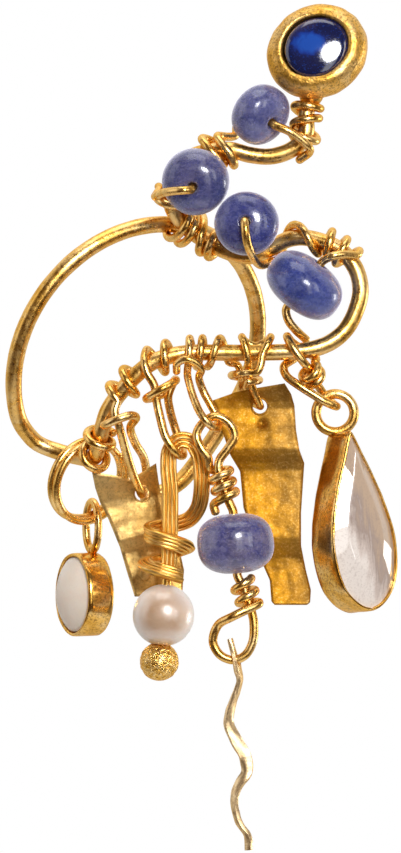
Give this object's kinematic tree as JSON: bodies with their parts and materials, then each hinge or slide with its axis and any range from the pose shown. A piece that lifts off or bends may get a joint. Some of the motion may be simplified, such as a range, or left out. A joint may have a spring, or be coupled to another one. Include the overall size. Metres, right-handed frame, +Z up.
{
  "type": "sapphire earring",
  "caption": "Hoop earring of a long gold wire with wound sapphire beads, a cup-set top stone and a row of hanging charms: hammered plates, pearl, sapphire link, crystal and cabochon.",
  "frame": {"origin": "the top of the bare stretch of the hoop, on the wire's centre line, where the ear lobe holds the earring", "axes": "+Z up along the earring, +Y away from the viewer, the thin direction, +X to the viewer's right"},
  "size_m": [0.0238, 0.0156, 0.0512],
  "materials": {
    "gold": "worn polish",
    "hammered_gold": "hammered satin",
    "deep_sapphire": "polished",
    "milky_sapphire": "polished, milky",
    "pearl": "lustrous",
    "crystal": "polished",
    "white_stone": "matt"
  },
  "bodies": {
    "hoop_body": {"ear_wire": "gold", "top_sapphire": "deep_sapphire", "bead_1": "milky_sapphire", "bead_2": "milky_sapphire", "bead_3": "milky_sapphire", "bead_4": "milky_sapphire", "bead_wire": "gold", "crystal_hook": "gold", "plate_hook": "gold", "link_hook": "gold", "pearl_hook": "gold", "small_plate_hook": "gold", "end_wrap_front": "gold", "end_wrap_back": "gold", "oval_ring": "gold", "cabochon_setting": "gold", "cabochon": "white_stone"},
    "large_plate_drop": {"large_plate": "hammered_gold"},
    "small_plate_drop": {"small_plate": "hammered_gold"},
    "pearl_drop": {"pearl_stem": "gold", "pearl": "pearl"},
    "sapphire_drop": {"link_wire": "gold", "link_bead": "milky_sapphire"},
    "ribbon_drop": {"ribbon": "gold"},
    "crystal_drop": {"crystal_setting": "gold", "crystal": "crystal"}
  },
  "joints": [
    {"name": "large_plate_swing", "type": "hinge", "parent": "hoop_body", "child": "large_plate_drop", "pos_m": [0.0063, -0.0013, -0.01105], "axis": [1, 0, 0], "range_deg": [-4, 20]},
    {"name": "small_plate_swing", "type": "hinge", "parent": "hoop_body", "child": "small_plate_drop", "pos_m": [-0.00085, -0.00045, -0.01635], "axis": [1, 0, 0], "range_deg": [-8, 20]},
    {"name": "pearl_swing", "type": "hinge", "parent": "hoop_body", "child": "pearl_drop", "pos_m": [0.0016, -0.0034, -0.0138], "axis": [1, 0, 0], "range_deg": [-12, 4]},
    {"name": "sapphire_swing", "type": "hinge", "parent": "hoop_body", "child": "sapphire_drop", "pos_m": [0.0037, -0.0044, -0.01195], "axis": [1, 0, 0], "range_deg": [-20, 4]},
    {"name": "ribbon_swing", "type": "hinge", "parent": "sapphire_drop", "child": "ribbon_drop", "pos_m": [0.0047, -0.0044, -0.0264], "axis": [1, 0, 0], "range_deg": [-25, 25]},
    {"name": "crystal_swing", "type": "hinge", "parent": "hoop_body", "child": "crystal_drop", "pos_m": [0.01085, -0.0026, -0.0106], "axis": [1, 0, 0], "range_deg": [-20, 20]}
  ]
}
